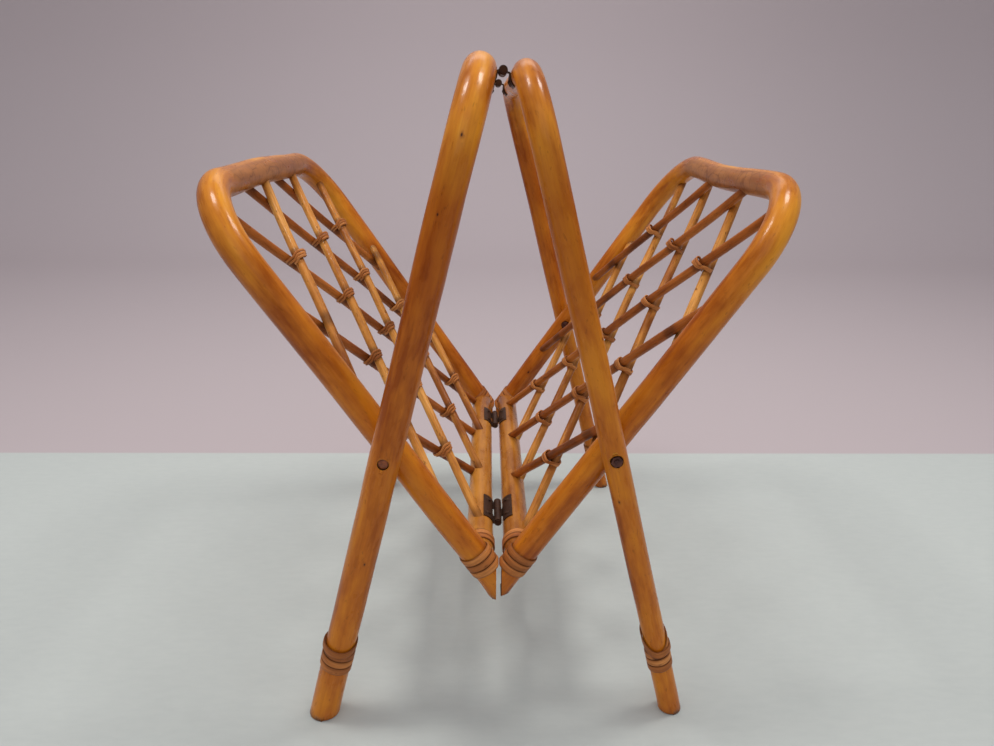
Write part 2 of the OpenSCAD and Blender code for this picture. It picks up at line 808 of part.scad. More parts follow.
bottom_rail(RIGHT);  // right_bottom_rail
corner_binding(RIGHT, FRONT);  // right_front_corner_binding
corner_binding(RIGHT, REAR);  // right_rear_corner_binding
rail_binding(RIGHT);  // right_rail_binding
bottom_leaves(RIGHT);  // right_bottom_leaves
bottom_screws(RIGHT);  // right_bottom_screws
cross_ties(RIGHT);  // right_cross_ties
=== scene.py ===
# %% [markdown]
# # A folding magazine rack of bent cane
# This lesson dresses a measured CAD model of a magazine rack. Two tall hoops of bent
# cane are the legs, and two wide hoops with a lattice of thin canes hold the magazines.
# The CAD model is loaded first as a fixed frame. It says where each piece is, so that
# everything made here is placed by the same numbers and moves with the same bodies.

# %% Load the fixed frame
from math import asin, atan, cos, degrees, hypot, pi, radians, sin, tan

import bmesh
import bpy
from mathutils import Matrix, Vector, noise


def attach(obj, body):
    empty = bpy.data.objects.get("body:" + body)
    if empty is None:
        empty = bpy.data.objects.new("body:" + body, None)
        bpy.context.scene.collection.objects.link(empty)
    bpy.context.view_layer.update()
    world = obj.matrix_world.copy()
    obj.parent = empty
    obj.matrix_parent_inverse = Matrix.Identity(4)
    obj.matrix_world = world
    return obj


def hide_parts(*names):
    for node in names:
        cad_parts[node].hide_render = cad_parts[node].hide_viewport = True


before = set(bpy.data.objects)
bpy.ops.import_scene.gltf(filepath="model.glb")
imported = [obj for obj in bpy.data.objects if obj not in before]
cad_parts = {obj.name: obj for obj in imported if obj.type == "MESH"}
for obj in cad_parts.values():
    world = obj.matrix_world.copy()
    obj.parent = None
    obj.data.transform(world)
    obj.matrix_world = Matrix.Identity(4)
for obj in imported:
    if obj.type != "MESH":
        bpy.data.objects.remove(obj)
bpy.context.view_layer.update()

# %% [markdown]
# ## The maker's numbers
# A script can't measure a rack that isn't there, so the sizes that the rack was drawn
# with are written down once, in millimetres. Angles and the places of the pivots follow
# from them by the same geometry as on the drawing board.

# %% Sizes of the hoops
MM = 0.001
LEFT, RIGHT = -1, 1
FRONT, REAR = -1, 1
SIDES = {LEFT: "left", RIGHT: "right"}
ENDS = {FRONT: "front", REAR: "rear"}

tray_lean = radians(34.2)
pivot_height = 210
apex_reach = 255
bottom_reach = 116.6
apex_clearance = 3.7
swing_gap, binding_t = 0.3, 1.0
wound_seat, wound_sides = 0.05, 16

pole_r = {LEFT: 10.7, RIGHT: 8.9}
foot_r = {LEFT: 10.7, RIGHT: 8.2}
leg_top = {LEFT: 251, RIGHT: 248}
leg_bend = {LEFT: 58, RIGHT: 44}

tray_width = 322
tray_top = 322 - bottom_reach
tray_bend = 55
rail_r = {LEFT: 10.6, RIGHT: 9.9}
bottom_rail_r = 10.2
bottom_rail_z = 5 - bottom_reach

# How far a hoop's ends run past the place where they are cut
foot_spare = 12
tip_spare = tray_width / 4

# %% Angles and places that follow from the sizes
hinge_offset = apex_clearance + (pole_r[LEFT] + pole_r[RIGHT]) / 2
pivot_x = bottom_reach * sin(tray_lean) + hinge_offset * cos(tray_lean)
leg_lean = asin(pivot_x / hypot(apex_reach, hinge_offset)) - atan(hinge_offset / apex_reach)
leg_foot = pivot_height / cos(leg_lean)
bottom_hinge_z = pivot_height - bottom_reach * cos(tray_lean) + hinge_offset * sin(tray_lean)


def wound_r(r):
    """Radius of a pole of radius r with a binding round it"""
    return (r + binding_t / 2 + wound_seat) / cos(pi / wound_sides) + binding_t / 2


leg_y = {s: tray_width / 2 + wound_r(rail_r[s]) + swing_gap + pole_r[s] for s in SIDES}


def hoop_place(side, lean):
    """From a hoop's own upright frame, in mm, to the rack's frame, in metres"""
    half_turn = Matrix.Rotation(pi if side == RIGHT else 0, 4, "Z")
    pivot = Matrix.Translation((-pivot_x, 0, pivot_height))
    return Matrix.Scale(MM, 4) @ half_turn @ pivot @ Matrix.Rotation(lean, 4, "Y")


LEG = {s: hoop_place(s, leg_lean) for s in SIDES}
TRAY = {s: hoop_place(s, -tray_lean) for s in SIDES}
print("legs lean", round(degrees(leg_lean), 2), "degrees, pivots at x", round(pivot_x, 2))


def own_end(side, end):
    """The right hoops are turned half round, so their own ends are swapped"""
    return end if side == LEFT else -end


# %% [markdown]
# ## Camera
# The camera stands where the photographer stood: close in front of the rack, a little
# above it and looking down. Its place came from matching known corners of the rack. The
# lens is written as a focal length in pixels, because that is what a picture gives.

# %% Camera
PHOTO_W = 994
focal_px = 747
camera_at = Vector((-10.03, -635.05, 424.94)) * MM
pitch, yaw, roll = radians(18.97), radians(0.92), radians(0.45)

forward = Vector((sin(yaw) * cos(pitch), cos(yaw) * cos(pitch), -sin(pitch)))
level = Vector((cos(yaw), -sin(yaw), 0))
upright = level.cross(forward)
across = level * cos(roll) + upright * sin(roll)
upward = upright * cos(roll) - level * sin(roll)

camera = bpy.data.objects.new("camera", bpy.data.cameras.new("camera"))
bpy.context.scene.collection.objects.link(camera)
camera.matrix_world = (
    Matrix.Translation(camera_at)
    @ Matrix((across, upward, -forward)).transposed().to_4x4()
)
camera.data.sensor_width = 36
camera.data.lens = focal_px * camera.data.sensor_width / PHOTO_W
camera.data.clip_start, camera.data.clip_end = 0.01, 50
bpy.context.scene.camera = camera
print("lens", round(camera.data.lens, 2), "mm")

# %% [markdown]
# ## Colours and node helpers
# Blender's shaders work with linear light, while colours are read off a screen as 0 to
# 255. One helper turns the second into the first. The others each add a shader node with
# its settings in one line, so that each finish below can be read like a recipe.


# %% A screen colour as linear light
def colour(r, g, b):
    """A screen colour, 0 to 255 each, as linear light"""
    def linear(c):
        c /= 255
        return c / 12.92 if c <= 0.04045 else ((c + 0.055) / 1.055) ** 2.4
    return (linear(r), linear(g), linear(b), 1)


# %% Node helpers
def add(tree, kind, sockets=(), **settings):
    """Adds a node, sets its settings, and fills or links its input sockets"""
    made = tree.nodes.new(kind)
    for key, value in settings.items():
        setattr(made, key, value)
    for key, value in dict(sockets).items():
        if isinstance(value, bpy.types.NodeSocket):
            tree.links.new(value, made.inputs[key])
        else:
            made.inputs[key].default_value = value
    return made


def reckon(tree, operation, *values):
    """One step of arithmetic between numbers and output sockets"""
    return add(tree, "ShaderNodeMath", dict(enumerate(values)), operation=operation).outputs[0]


def blend_colour(tree, share, first, second, how="MIX"):
    """Mixes two colours; share is how much of the second one shows"""
    made = add(tree, "ShaderNodeMix", {0: share, 6: first, 7: second},
               data_type="RGBA", blend_type=how)
    return made.outputs[2]


def ramp(tree, value, stops):
    """A colour ramp through (place, colour) stops"""
    made = add(tree, "ShaderNodeValToRGB", {"Fac": value})
    band = made.color_ramp
    while len(band.elements) < len(stops):
        band.elements.new(0.5)
    for element, (place, shade) in zip(band.elements, stops):
        element.position = place
        element.color = shade
    return made.outputs["Color"]


def spread(tree, value, low, high, to_low=0.0, to_high=1.0):
    """Maps low..high of a value to to_low..to_high, and holds it there"""
    made = add(tree, "ShaderNodeMapRange", {"Value": value, "From Min": low, "From Max": high,
               "To Min": to_low, "To Max": to_high}, clamp=True)
    return made.outputs["Result"]


def noise_on(tree, place, scale, stretch, detail, rough, shift=0.0):
    """Noise with this many cells a metre, stretched along the axes of place"""
    mapped = add(tree, "ShaderNodeMapping", {"Vector": place, "Scale": stretch,
                 "Location": (shift, shift * 0.7, shift * 1.3)})
    made = add(tree, "ShaderNodeTexNoise", {"Vector": mapped.outputs["Vector"], "Scale": scale,
               "Detail": detail, "Roughness": rough})
    return made.outputs["Fac"]


def new_finish(name):
    """A material whose tree holds only the output and a principled shader"""
    finish = bpy.data.materials.new(name)
    finish.use_nodes = True
    tree = finish.node_tree
    shader = next(n for n in tree.nodes if n.type == "BSDF_PRINCIPLED")
    return finish, tree, shader


# %% [markdown]
# ## Floor, backdrop and light
# The rack stands on a pale table with a cloth behind it. One big sheet does both: it is
# pale grey-green where the table is and pale lilac-grey behind its far edge. Two small
# lamps hang above the sides, because each bend in the photograph shows two small
# highlights. A wide lamp in front fills the near faces, one behind lights the cloth, and
# the pale world fills the shadows, so that a colour looks about as it is written.

# %% Floor and backdrop
table_edge_y, edge_blur = 0.272, 0.002
table_colour, weave_colour = colour(196, 201, 197), colour(184, 190, 187)
cloth_colour = colour(190, 178, 180)
sheet_half, sheet_front, sheet_top = 5, -4.0, 4.0
bend_start, bend_r, bend_steps = 1.6, 0.8, 12

stage_bm = bmesh.new()
bend_angles = [pi * k / (2 * bend_steps) for k in range(1, bend_steps + 1)]
rows = [(sheet_front, 0.0), (bend_start, 0.0)]
rows += [(bend_start + bend_r * sin(a), bend_r - bend_r * cos(a)) for a in bend_angles]
rows += [(bend_start + bend_r, sheet_top)]
sheet_rows = [[stage_bm.verts.new((x, y, z)) for x in (-sheet_half, sheet_half)] for y, z in rows]
for lower, upper in zip(sheet_rows, sheet_rows[1:]):
    stage_bm.faces.new((lower[0], lower[1], upper[1], upper[0]))
stage_mesh = bpy.data.meshes.new("floor")
stage_bm.to_mesh(stage_mesh)
stage_bm.free()
stage_mesh.shade_smooth()
floor = bpy.data.objects.new("floor", stage_mesh)
bpy.context.scene.collection.objects.link(floor)

table_finish, tree, shader = new_finish("table_and_cloth")
where = add(tree, "ShaderNodeNewGeometry").outputs["Position"]
depth = add(tree, "ShaderNodeSeparateXYZ", {0: where}).outputs["Y"]
behind = spread(tree, depth, table_edge_y - edge_blur, table_edge_y + edge_blur)
weave = noise_on(tree, where, 60, (1, 3, 1), 4, 0.6)
table_tone = blend_colour(tree, spread(tree, weave, 0.3, 0.7, 0, 0.35), table_colour,
                          weave_colour)
tree.links.new(blend_colour(tree, behind, table_tone, cloth_colour),
               shader.inputs["Base Color"])
shader.inputs["Roughness"].default_value = 0.9
shader.inputs["Specular IOR Level"].default_value = 0.2
floor.data.materials.append(table_finish)

# %% Lamps and world
rack_middle, cloth_middle = (0, 0, 0.2), (0, 2.1, 0.3)
warm, pale_warm, neutral = (1, 0.975, 0.94), (1, 0.985, 0.97), (1, 1, 1)
sky_strength, mirrored_strength = 0.56, 0.12


def lamp(name, at, aim, size, watts, tint):
    """A square lamp, its places and size in metres"""
    light = bpy.data.lights.new(name, "AREA")
    light.shape = "SQUARE"
    light.size = size
    light.energy = watts
    light.color = tint
    made = bpy.data.objects.new(name, light)
    bpy.context.scene.collection.objects.link(made)
    made.location = at
    made.rotation_euler = (Vector(aim) - Vector(at)).to_track_quat("-Z", "Y").to_euler()


lamp("left_lamp", (-0.50, -0.02, 1.60), rack_middle, 0.32, 7.5, warm)
lamp("right_lamp", (0.55, 0.12, 1.55), rack_middle, 0.32, 7.0, warm)
lamp("front_lamp", (0.10, -1.60, 1.50), rack_middle, 1.60, 4.5, pale_warm)
lamp("back_lamp", (0, 1.70, 1.90), cloth_middle, 1.40, 8.5, neutral)

# The sky that a glossy pole mirrors is dimmer, as the walls of a room are
world = bpy.data.worlds.new("soft_room")
bpy.context.scene.world = world
world.use_nodes = True
room = world.node_tree
sky = room.nodes["Background"]
sky.inputs["Color"].default_value = (0.94, 0.95, 1.0, 1)
mirrored = add(room, "ShaderNodeLightPath").outputs["Is Glossy Ray"]
room.links.new(spread(room, mirrored, 0, 1, sky_strength, mirrored_strength),
               sky.inputs["Strength"])
bpy.context.scene.view_settings.view_transform = "Standard"

# %% [markdown]
# ## Lacquered cane
# A cane pole is peeled, bent over steam and lacquered. Its colour runs from honey to
# brown in long streaks, with fine fibres, small dark flecks and a few knots. A texture
# laid out in room space would cut across the bends, so each pole carries a point
# attribute, straight, which says where a point was before the pole was bent. Noise read
# there follows every bend. The bends catch more light than the legs below them, so painted
# shade darkens the colour with the distance from the middle of the hoop, most just below
# a leg's bend. A second attribute, stain, paints shade at the ends, at the joints and
# under the windings, and marks a real knot in one strip. A third, worn, bares the wood
# where magazines have rubbed and draws a net of fine cracks there.
# Strips use the same finish, with darker edges.


# %% The layer that every cane has
# Of each noise: cells a metre, stretch along the pole, detail, roughness and shift
GRAIN = {
    "clouds": (22, 0.36, 3, 0.5, 0),
    "patches": (85, 0.32, 3, 0.6, 2),
    "streaks": (330, 0.06, 2, 0.5, 3),
    "fibres": (1100, 0.05, 2, 0.6, 7),
    "flecks": (420, 0.35, 2, 0.7, 11),
    "ripple": (130, 0.45, 3, 0.55, 5),
}
TONE_SHARES = {"clouds": 0.50, "patches": 0.36, "streaks": 0.14}


def grain_colour(tree, grain, light, middle, deep, shade, fibre, fleck):
    """The colour of sound cane, with its streaks, fibres and flecks"""
    tone = 0.0
    for layer, share in TONE_SHARES.items():
        tone = reckon(tree, "MULTIPLY_ADD", grain[layer], share, tone)
    skin = ramp(tree, tone, [(0.40, deep), (0.50, middle), (0.60, light)])
    skin = blend_colour(tree, spread(tree, grain["fibres"], 0.45, 0.75, 0, fibre), skin, shade)
    return blend_colour(tree, spread(tree, grain["flecks"], 0.63, 0.72, 0, fleck), skin, shade)


# %% Layers that show on the hoops alone
# Painted shade: the legs and lower sides of a hoop are darker than its bar, and a leg is darkest
# just below its bend
painted_side_shade, painted_bend_belt_shade = (0.80, 0.63, 0.50, 1), (0.66, 0.48, 0.28, 1)
knot_rim, knot_heart = colour(124, 58, 18), colour(46, 20, 10)
bare_dark, bare_light = colour(122, 74, 44), colour(170, 112, 70)


def paint_hoop_shade(tree, skin, along, bar, painted_belt_shade):
    """Paints shade on a hoop away from the middle of its bar, and on a leg once more below its bend
    """
    away = reckon(tree, "ABSOLUTE", reckon(tree, "SUBTRACT", along, bar))
    skin = blend_colour(tree, spread(tree, away, bar * 0.20, bar * 0.46), skin,
                        painted_side_shade, "MULTIPLY")
    starts = spread(tree, away, bar * 0.31, bar * 0.37)
    ends = spread(tree, away, bar * 0.43, bar * 0.54, painted_belt_shade, 0)
    return blend_colour(tree, reckon(tree, "MULTIPLY", starts, ends), skin,
                        painted_bend_belt_shade, "MULTIPLY")


def mark_knot(tree, skin, straight, streaks, along, angle, size, radius):
    """A small dark knot with a brown rim, both frayed by the streaks"""
    squash = (1, 1, 0.6)
    centre = (radius * cos(radians(angle)), radius * sin(radians(angle)), along * squash[2])
    near = add(tree, "ShaderNodeMapping", {"Vector": straight, "Scale": squash})
    far = add(tree, "ShaderNodeVectorMath", {0: near.outputs[0], 1: centre},
              operation="DISTANCE").outputs["Value"]
    far = reckon(tree, "MULTIPLY_ADD", streaks, size * 0.8, far)
    skin = blend_colour(tree, spread(tree, far, size * 2.2, size, 0, 0.5), skin, knot_rim)
    return blend_colour(tree, spread(tree, far, size * 1.2, size * 0.8, 0, 0.9), skin, knot_heart)


def rub_off(tree, skin, straight, patches, shade):
    """Bares and cracks the worn places; gives the colour and how far each is rubbed"""
    worn = add(tree, "ShaderNodeAttribute", attribute_name="worn").outputs["Fac"]
    bare = blend_colour(tree, spread(tree, patches, 0.38, 0.62), bare_dark, bare_light)
    rubbed = reckon(tree, "MULTIPLY_ADD", worn, patches, -0.30)
    rubbed = spread(tree, rubbed, 0.0, 0.20, 0, 0.8)
    skin = blend_colour(tree, rubbed, skin, bare)
    net = add(tree, "ShaderNodeTexVoronoi", {"Vector": straight, "Scale": 85},
              feature="DISTANCE_TO_EDGE").outputs["Distance"]
    crack = spread(tree, reckon(tree, "MULTIPLY_ADD", patches, 0.20, net), 0.16, 0.11)
    return blend_colour(tree, reckon(tree, "MULTIPLY", crack, rubbed), skin, shade), rubbed


# %% [markdown]
# ## One finish from the layers
# The layers are put together in the order in which they come about: first the cane as it
# grew, then the knots, then wear, and at last painted shade at the ends, joints and
# windings, with the knot of one strip. The lacquer lies over it as a thin coat, glossy where
# it is whole and dull where it is rubbed, and a fine bump keeps its highlights from looking like
# glass.


# %% The finish of lacquered cane
# Painted shade of ends, joints and windings, and a real knot in one strip, take this colour
stain_and_shade_colour = colour(70, 34, 14)


def cane_finish(name, light, middle, deep, seed, gloss=0.27, coat=0.26, fleck=0.35, fibre=0.10,
                knots=(), bar=0.0, painted_belt_shade=0.0, edge=0.0):
    """Knots are (along, angle, size, pole radius), bar is the middle of a hoop and edge is
    half the width of a strip, all in metres. belt is how dark the painted shade of a leg
    is below its bend"""
    finish, tree, shader = new_finish(name)
    straight = add(tree, "ShaderNodeAttribute", attribute_name="straight").outputs["Vector"]
    stain_and_shade = add(tree, "ShaderNodeAttribute", attribute_name="stain_and_shade").outputs["Fac"]
    across, _, along = add(tree, "ShaderNodeSeparateXYZ", {0: straight}).outputs
    grain = {layer: noise_on(tree, straight, scale, (1, 1, stretch), detail, rough, seed + shift)
             for layer, (scale, stretch, detail, rough, shift) in GRAIN.items()}
    shade = tuple(c * 0.5 for c in deep[:3]) + (1,)

    skin = grain_colour(tree, grain, light, middle, deep, shade, fibre, fleck)
    # Painted shade on the legs and sides of a hoop
    if bar:
        skin = paint_hoop_shade(tree, skin, along, bar, painted_belt_shade)
    if edge:
        beside = spread(tree, reckon(tree, "ABSOLUTE", across), edge * 0.66, edge * 0.92, 0, 0.65)
        skin = blend_colour(tree, beside, skin, shade)
    for knot in knots:
        skin = mark_knot(tree, skin, straight, grain["streaks"], *knot)
    skin, rubbed = rub_off(tree, skin, straight, grain["patches"], shade)
    # Painted shade at ends, joints and under windings, and the knot of one strip
    skin = blend_colour(tree, stain_and_shade, skin, stain_and_shade_colour)
    tree.links.new(skin, shader.inputs["Base Color"])

    matt = spread(tree, grain["patches"], 0.3, 0.7, gloss - 0.05, gloss + 0.09)
    matt = reckon(tree, "MULTIPLY_ADD", rubbed, 0.16, matt)
    tree.links.new(matt, shader.inputs["Roughness"])
    tree.links.new(spread(tree, rubbed, 0, 1, coat, coat * 0.25), shader.inputs["Coat Weight"])
    shader.inputs["Coat Roughness"].default_value = 0.10
    shader.inputs["Coat IOR"].default_value = 1.4
    shader.inputs["Specular IOR Level"].default_value = 0.15
    height = reckon(tree, "MULTIPLY_ADD", grain["fibres"], 0.06 + fibre * 0.8, grain["ripple"])
    bump = add(tree, "ShaderNodeBump", {"Height": height, "Strength": 0.45, "Distance": 0.0006})
    for socket in ("Normal", "Coat Normal"):
        tree.links.new(bump.outputs["Normal"], shader.inputs[socket])
    return finish


# %% [markdown]
# ## The canes of this rack
# The four hoops share one honey colour. Their seeds, their knots and the painted shade
# below a leg's bend differ. The bottom rails are a little duller, the thin canes golden or
# reddish brown, the strips of the windings paler and less glossy, and the cut ends dark.


# %% Finishes of the hoops, canes, strips and cut ends
def half_run(half, low, top, bend):
    """From the foot of a hoop to the middle of its bar, in metres"""
    return (top - bend - low + pi / 2 * bend + half - bend) * MM


honey, amber, umber = colour(232, 158, 46), colour(208, 130, 40), colour(166, 90, 26)
leg_bar = {side: half_run(leg_y[side], -leg_foot - foot_spare, leg_top[side], leg_bend[side])
           for side in SIDES}
rail_bar = half_run(tray_width / 2, -bottom_reach - tip_spare, tray_top, tray_bend)
LEG_FINISH = {
    LEFT: cane_finish("left_leg_cane", honey, amber, umber, 2.0, bar=leg_bar[LEFT], painted_belt_shade=1.0,
                      knots=[(0.438, 92, 0.0009, 0.0107), (0.394, 105, 0.0007, 0.0107),
                             (0.152, 72, 0.0009, 0.0107)]),
    RIGHT: cane_finish("right_leg_cane", honey, amber, umber, 5.3, bar=leg_bar[RIGHT], painted_belt_shade=0.75,
                       knots=[(0.966, 150, 0.0007, 0.0088), (1.080, 60, 0.0009, 0.0086)]),
}
RAIL_FINISH = {
    LEFT: cane_finish("left_tray_cane", honey, amber, umber, 9.1, bar=rail_bar),
    RIGHT: cane_finish("right_tray_cane", honey, amber, umber, 13.7, bar=rail_bar,
                       knots=[(0.130, 280, 0.0012, 0.0099)]),
}
bottom_finish = cane_finish("bottom_rail_cane", colour(198, 132, 54), colour(172, 108, 40),
                            colour(138, 78, 28), 16.4)
golden_finish = cane_finish("golden_thin_cane", colour(222, 156, 76), colour(202, 132, 56),
                            colour(150, 84, 32), 17.2, gloss=0.46, coat=0.10, fleck=0.8,
                            fibre=0.45)
dark_finish = cane_finish("dark_thin_cane", colour(190, 112, 46), colour(162, 88, 34),
                          colour(114, 58, 22), 21.9, gloss=0.42, coat=0.14, fleck=0.6,
                          fibre=0.35)
strip_finish = cane_finish("binding_strip", colour(210, 138, 76), colour(184, 112, 56),
                           colour(150, 86, 42), 25.5, gloss=0.46, coat=0.10, fleck=0.6,
                           fibre=0.55, edge=0.0027)
end_finish = cane_finish("end_grain", colour(120, 72, 40), colour(92, 52, 28),
                         colour(60, 32, 18), 29.4, gloss=0.6, coat=0.0, fleck=0.4,
                         fibre=0.3)
print("cane finishes:", len([m for m in bpy.data.materials if "cane" in m.name]))

# %% [markdown]
# ## Dark metal
# The hinges are thin steel that has gone dark brown, and the bolt heads are painted over
# with the same varnish as the cane. A dull, broken surface with rusty patches is what
# tells the eye that they are old.


# %% The finishes of the hinges, screws, bolts and nuts
def metal_finish(name, base, patch, roughness, metallic, seed):
    """A dull metal in two patchy colours, with fine pits"""
    finish, tree, shader = new_finish(name)
    where = add(tree, "ShaderNodeTexCoord").outputs["Object"]
    patches = noise_on(tree, where, 260, (1, 1, 1), 4, 0.6, seed)
    pits = noise_on(tree, where, 1400, (1, 1, 1), 2, 0.6, seed + 2)
    skin = ramp(tree, patches, [(0.38, base), (0.62, patch)])
    tree.links.new(skin, shader.inputs["Base Color"])
    tree.links.new(spread(tree, patches, 0.35, 0.65, roughness - 0.1, roughness + 0.15),
                   shader.inputs["Roughness"])
    shader.inputs["Metallic"].default_value = metallic
    bump = add(tree, "ShaderNodeBump", {"Height": pits, "Strength": 0.4, "Distance": 0.0002})
    tree.links.new(bump.outputs["Normal"], shader.inputs["Normal"])
    return finish


hinge_finish = metal_finish("dark_hinge_steel", colour(62, 42, 32), colour(84, 56, 38),
                            0.48, 0.55, 1.0)
head_finish = metal_finish("varnished_bolt_head", colour(162, 84, 38), colour(118, 58, 28),
                           0.42, 0.0, 4.0)
nut_finish = metal_finish("dark_nut", colour(70, 38, 34), colour(104, 62, 50), 0.38, 0.5, 7.0)

# %% [markdown]
# ## A tube along a line
# Every pole and thin cane is a ring of points carried along a line. Rings are written in
# the hoop's own frame, in millimetres. The helper joins them into one closed skin, puts
# the three attributes on its points and moves the result to its place in the rack. A
# second helper names the piece and lets it ride on its body.

# %% Helpers: limits, gentle steps and angles
RING = 40


def clamp(value, low=0.0, high=1.0):
    return max(low, min(high, value))


def smooth(share):
    """0 to 1 with a gentle start and end"""
    share = clamp(share)
    return share * share * (3 - 2 * share)


def angles_round(count):
    """Equal steps once round a circle"""
    return [2 * pi * j / count for j in range(count)]


# %% Helpers: a skin through rings of points, and the finished piece
def skin_through(rings, straights, stains_and_shades, place, worns=None):
    """A closed bmesh skin through rings of points, with its attributes"""
    bm = bmesh.new()
    straight = bm.verts.layers.float_vector.new("straight")
    stain_and_shade = bm.verts.layers.float.new("stain_and_shade")
    worn = bm.verts.layers.float.new("worn")
    grid = []
    for i, (ring, coords, shade) in enumerate(zip(rings, straights, stains_and_shades)):
        row = []
        for j, (point, coord) in enumerate(zip(ring, coords)):
            vertex = bm.verts.new(place @ point)
            vertex[straight] = coord
            vertex[stain_and_shade] = shade
            vertex[worn] = worns[i][j] if worns else 0
            row.append(vertex)
        grid.append(row)
    count = len(grid[0])
    for near, far in zip(grid, grid[1:]):
        for j in range(count):
            k = (j + 1) % count
            bm.faces.new((near[j], near[k], far[k], far[j]))
    bm.faces.new(grid[0][::-1])
    bm.faces.new(grid[-1])
    bmesh.ops.recalc_face_normals(bm, faces=bm.faces)
    return bm


def piece_from(name, bm, finish, body, replaces):
    """Turns a bmesh into a named piece that rides on a body"""
    mesh = bpy.data.meshes.new(name)
    for face in bm.faces:
        face.smooth = face.material_index == 0 and len(face.verts) <= 4
    bm.to_mesh(mesh)
    bm.free()
    mesh.materials.append(finish)
    mesh.materials.append(end_finish)
    piece = bpy.data.objects.new(name, mesh)
    bpy.context.scene.collection.objects.link(piece)
    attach(piece, body)
    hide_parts(*replaces)
    return piece


# %% [markdown]
# ## Saw, drill and lathe
# A saw cut closes the skin with a lid of end grain, and its rounded rim catches the light
# as sanded wood does. What the drill takes away is a shape turned on the lathe.


# %% Helpers: saw, drill and lathe
def slice_off(bm, at, outward, rounding=0.0):
    """Cuts away what lies beyond a plane, in metres, and closes the cut"""
    cut = bmesh.ops.bisect_plane(bm, geom=bm.verts[:] + bm.edges[:] + bm.faces[:],
                                 plane_co=at, plane_no=outward, clear_outer=True)
    rim = [e for e in cut["geom_cut"] if isinstance(e, bmesh.types.BMEdge)]
    for lid in bmesh.ops.edgeloop_fill(bm, edges=rim)["faces"]:
        lid.material_index = 1
    if rounding:
        bmesh.ops.bevel(bm, geom=rim, offset=rounding, segments=3, profile=0.5,
                        affect="EDGES", material=0)


def drill(piece, cutter_bm):
    """Cuts a closed bmesh out of a piece"""
    mesh = bpy.data.meshes.new("cutter")
    cutter_bm.to_mesh(mesh)
    cutter_bm.free()
    mesh.materials.append(end_finish)
    cutter = bpy.data.objects.new("cutter", mesh)
    bpy.context.scene.collection.objects.link(cutter)
    cut = piece.modifiers.new("drill", "BOOLEAN")
    cut.operation, cut.solver, cut.object = "DIFFERENCE", "EXACT", cutter
    cut.material_mode = "TRANSFER"
    bpy.context.view_layer.update()
    graph = bpy.context.evaluated_depsgraph_get()
    result = bpy.data.meshes.new_from_object(piece.evaluated_get(graph))
    piece.modifiers.clear()
    piece.data = result
    bpy.data.objects.remove(cutter)


def turned(profile, place, sides=32):
    """A closed solid turned about the Y axis; profile is (radius, y) from end to end"""
    rings, straights = [], []
    for r, y in profile:
        angles = angles_round(sides)
        rings.append([Vector((r * cos(a), y, r * sin(a))) for a in angles])
        straights.append([Vector((r * cos(a), r * sin(a), y)) * MM for a in angles])
    return skin_through(rings, straights, [0.0] * len(rings), place)


# %% [markdown]
# ## Bent poles
# A hoop is one pole: up one side, round a bend, along the top and down the other side.
# A line of stations says where the middle of the pole is and which way it runs.

# %% Stations of a hoop
hoop_step, bend_step = 4.0, 3.0


def hoop_stations(half, low, top, bend):
    """(y, z, direction, bend share, distance) up one side, over the top and down again"""
    corner, straight_top = half - bend, top - bend
    line = []
    count = round((straight_top - low) / hoop_step)
    line += [(-half, low + (straight_top - low) * k / count, pi / 2, 0) for k in range(count)]
    count = round(bend * pi / 2 / bend_step)
    for k in range(count):
        a = pi / 2 * (1 - k / count)
        line.append((-corner - bend * sin(a), straight_top + bend * cos(a), a, sin(pi * k / count)))
    count = round(2 * corner / hoop_step)
    line += [(-corner + 2 * corner * k / count, top, 0, 0) for k in range(count)]
    mirrored = [(-y, z, -a, w) for y, z, a, w in reversed(line[:-count])]
    line += [(corner, top, 0, 0)] + mirrored
    stations, far = [], 0.0
    for i, (y, z, a, w) in enumerate(line):
        if i:
            far += hypot(y - line[i - 1][0], z - line[i - 1][1])
        stations.append((y, z, a, w, far))
    return stations


# %% [markdown]
# ## Poles bent by hand
# Real poles aren't perfect, so each station may wander a little, except where a hinge, a
# pivot or a binding sits. Bends are slightly flattened, as steam-bent cane often is.

# %% The pole that follows its stations
wander_run, wander_gain, calm_run = 95, 1.6, 30
side_drift, out_drift, thick_drift = 0.55, 0.45, 0.012
bend_flat_out, bend_flat_in, bend_wide = 0.045, 0.05, 0.02


def wander(far, seed, reach):
    """A slow, small drift along a pole"""
    return reach * noise.noise(Vector((far / wander_run, seed * 3.7, 0.3))) * wander_gain


def calm(far, quiet):
    """0 near the quiet places of a pole, 1 well away from them"""
    return smooth(min((abs(far - place) - width) / calm_run for place, width in quiet))


